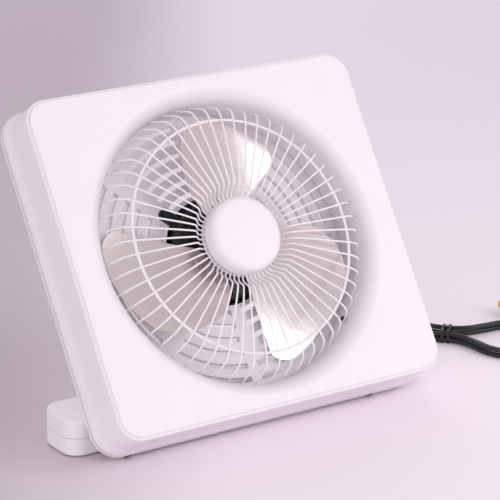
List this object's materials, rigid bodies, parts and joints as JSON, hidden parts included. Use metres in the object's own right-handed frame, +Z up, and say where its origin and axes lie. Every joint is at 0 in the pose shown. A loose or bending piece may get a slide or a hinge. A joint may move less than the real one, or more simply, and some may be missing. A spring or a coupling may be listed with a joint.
{
  "type": "portable table fan",
  "caption": "Box-shaped table fan: a square head with a round wire-guarded opening and metal blades leans back on a hinged low stand with a speed knob; mains cord tied in a hank.",
  "frame": {"origin": "on the floor, in the middle of the fan's own footprint, the cord left aside", "axes": "+Z up, front of the fan towards -Y, +X to the right of someone facing the fan"},
  "size_m": [0.5813, 0.2242, 0.3012],
  "materials": {
    "white_shell": "white moulded ABS, satin",
    "white_wire": "steel wire, white powder coat",
    "blade_metal": "polished sheet",
    "zinc_steel": "zinc plated steel",
    "motor_iron": "plain electrical steel",
    "copper_wire": "varnished copper",
    "black_casting": "black painted die casting",
    "bronze_bush": "sintered bronze",
    "dark_rubber": "moulded rubber",
    "white_arm": "white moulded nylon",
    "white_knob": "white moulded ABS, satin",
    "black_plastic": "moulded black plastic",
    "cord_jacket": "black PVC jacket",
    "pin_brass": "plated brass"
  },
  "bodies": {
    "base": {"stand_upper_shell": "white_shell", "stand_lower_shell": "white_shell", "stand_screws": "zinc_steel", "stand_pads": "dark_rubber", "stand_weight": "motor_iron", "hinge_arms": "white_arm", "speed_switch": "black_plastic", "switch_nut": "zinc_steel", "run_capacitor": "black_plastic", "strain_relief": "cord_jacket", "power_cord": "cord_jacket", "cord_hank": "cord_jacket", "cord_tie": "cord_jacket", "plug_body": "cord_jacket", "plug_pins": "pin_brass"},
    "head": {"front_cover": "white_shell", "rear_casing": "white_shell", "guard": "white_wire", "hub_cap": "white_shell", "hub_cap_backing": "white_shell", "hub_cap_screw": "zinc_steel", "stator_core": "motor_iron", "stator_windings": "copper_wire", "motor_front_housing": "black_casting", "motor_rear_housing": "black_casting", "front_bearing": "bronze_bush", "rear_bearing": "bronze_bush", "motor_through_bolts": "zinc_steel", "motor_mount_screws": "zinc_steel", "casing_screws": "zinc_steel", "foot_pads": "dark_rubber", "hinge_pins": "zinc_steel"},
    "rotor": {"fan_blade_1": "blade_metal", "fan_blade_2": "blade_metal", "fan_blade_3": "blade_metal", "blade_hub": "zinc_steel", "blade_rivets": "blade_metal", "blade_nut": "zinc_steel", "motor_shaft": "zinc_steel", "rotor_core": "motor_iron"},
    "knob": {"speed_knob": "white_knob", "switch_spindle": "zinc_steel"}
  },
  "joints": [
    {"name": "head_tilt", "type": "hinge", "parent": "base", "child": "head", "pos_m": [0, -0.06051, 0.018], "axis": [1, 0, 0], "range_deg": [0, 32.7]},
    {"name": "fan_spin", "type": "hinge", "parent": "head", "child": "rotor", "pos_m": [0, -0.02472, 0.16863], "axis": [0, -0.8415, 0.5402], "continuous": true},
    {"name": "speed_knob_turn", "type": "hinge", "parent": "base", "child": "knob", "pos_m": [0.166, -0.0173, 0.04], "axis": [0, 0, -1], "range_deg": [0, 135]}
  ]
}
